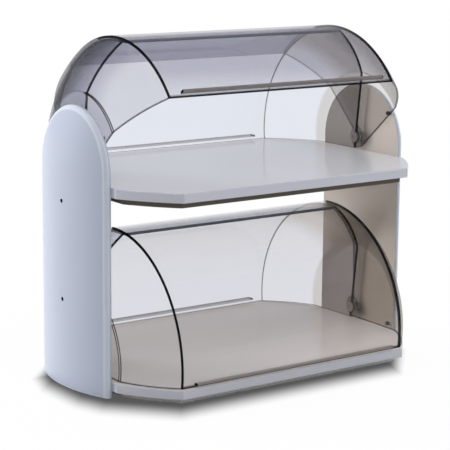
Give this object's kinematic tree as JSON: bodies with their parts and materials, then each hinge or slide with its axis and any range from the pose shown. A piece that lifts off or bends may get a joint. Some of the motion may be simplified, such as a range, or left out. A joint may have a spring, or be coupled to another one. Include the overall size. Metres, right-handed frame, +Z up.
{
  "type": "countertop bread display bin",
  "caption": "Tiered countertop bread display with nested quarter-round clear covers that roll open to the front and the back of each tray between arched end panels.",
  "frame": {"origin": "centre of the footprint on the table, under the rubber feet", "axes": "+X along the bin, -Y the front, +Z up"},
  "size_m": [0.5796, 0.3742, 0.506],
  "materials": {
    "panel_white": "gloss white moulded plastic, cool tone",
    "plate_taupe": "satin warm grey plastic",
    "tray_white": "satin off-white plastic",
    "base_taupe": "matte grey-brown plastic",
    "smoke_acrylic": "clear smoke-tinted acrylic, polished",
    "cap_smoke": "smoke-grey plastic",
    "washer_nylon": "natural nylon",
    "bumper_rubber": "black rubber",
    "foot_rubber": "black rubber",
    "pin_steel": "turned steel",
    "screw_steel": "blackened steel"
  },
  "bodies": {
    "frame": {"left_inner_plate": "plate_taupe", "left_outer_shell": "panel_white", "left_shell_screws": "screw_steel", "left_tray_screws": "screw_steel", "lower_left_cheek_washer": "washer_nylon", "lower_left_panel_spacer": "washer_nylon", "lower_left_pivot_cap": "cap_smoke", "lower_left_pivot_nut": "screw_steel", "lower_left_pivot_pin": "pin_steel", "lower_right_cheek_washer": "washer_nylon", "lower_right_panel_spacer": "washer_nylon", "lower_right_pivot_cap": "cap_smoke", "lower_right_pivot_nut": "screw_steel", "lower_right_pivot_pin": "pin_steel", "lower_tray": "tray_white", "lower_tray_base": "base_taupe", "right_inner_plate": "plate_taupe", "right_outer_shell": "panel_white", "right_shell_screws": "screw_steel", "right_tray_screws": "screw_steel", "rubber_feet": "foot_rubber", "upper_left_cheek_washer": "washer_nylon", "upper_left_panel_spacer": "washer_nylon", "upper_left_pivot_cap": "cap_smoke", "upper_left_pivot_nut": "screw_steel", "upper_left_pivot_pin": "pin_steel", "upper_right_cheek_washer": "washer_nylon", "upper_right_panel_spacer": "washer_nylon", "upper_right_pivot_cap": "cap_smoke", "upper_right_pivot_nut": "screw_steel", "upper_right_pivot_pin": "pin_steel", "upper_tray": "tray_white", "upper_tray_base": "base_taupe"},
    "upper_front_cover": {"upper_front_bumpers": "bumper_rubber", "upper_front_left_end": "smoke_acrylic", "upper_front_right_end": "smoke_acrylic", "upper_front_sheet": "smoke_acrylic"},
    "upper_back_cover": {"upper_back_left_end": "smoke_acrylic", "upper_back_right_end": "smoke_acrylic", "upper_back_sheet": "smoke_acrylic"},
    "lower_front_cover": {"lower_front_bumpers": "bumper_rubber", "lower_front_left_end": "smoke_acrylic", "lower_front_right_end": "smoke_acrylic", "lower_front_sheet": "smoke_acrylic"},
    "lower_back_cover": {"lower_back_left_end": "smoke_acrylic", "lower_back_right_end": "smoke_acrylic", "lower_back_sheet": "smoke_acrylic"}
  },
  "joints": [
    {"name": "upper_front_hinge", "type": "hinge", "parent": "frame", "child": "upper_front_cover", "pos_m": [0, 0, 0.3254], "axis": [-1, 0, 0], "range_deg": [-42.8, 2.2]},
    {"name": "upper_back_hinge", "type": "hinge", "parent": "frame", "child": "upper_back_cover", "pos_m": [0, 0, 0.3254], "axis": [1, 0, 0], "range_deg": [0, 45]},
    {"name": "lower_front_hinge", "type": "hinge", "parent": "frame", "child": "lower_front_cover", "pos_m": [0, 0, 0.0454], "axis": [-1, 0, 0], "range_deg": [0, 45]},
    {"name": "lower_back_hinge", "type": "hinge", "parent": "frame", "child": "lower_back_cover", "pos_m": [0, 0, 0.0454], "axis": [1, 0, 0], "range_deg": [0, 45]}
  ]
}
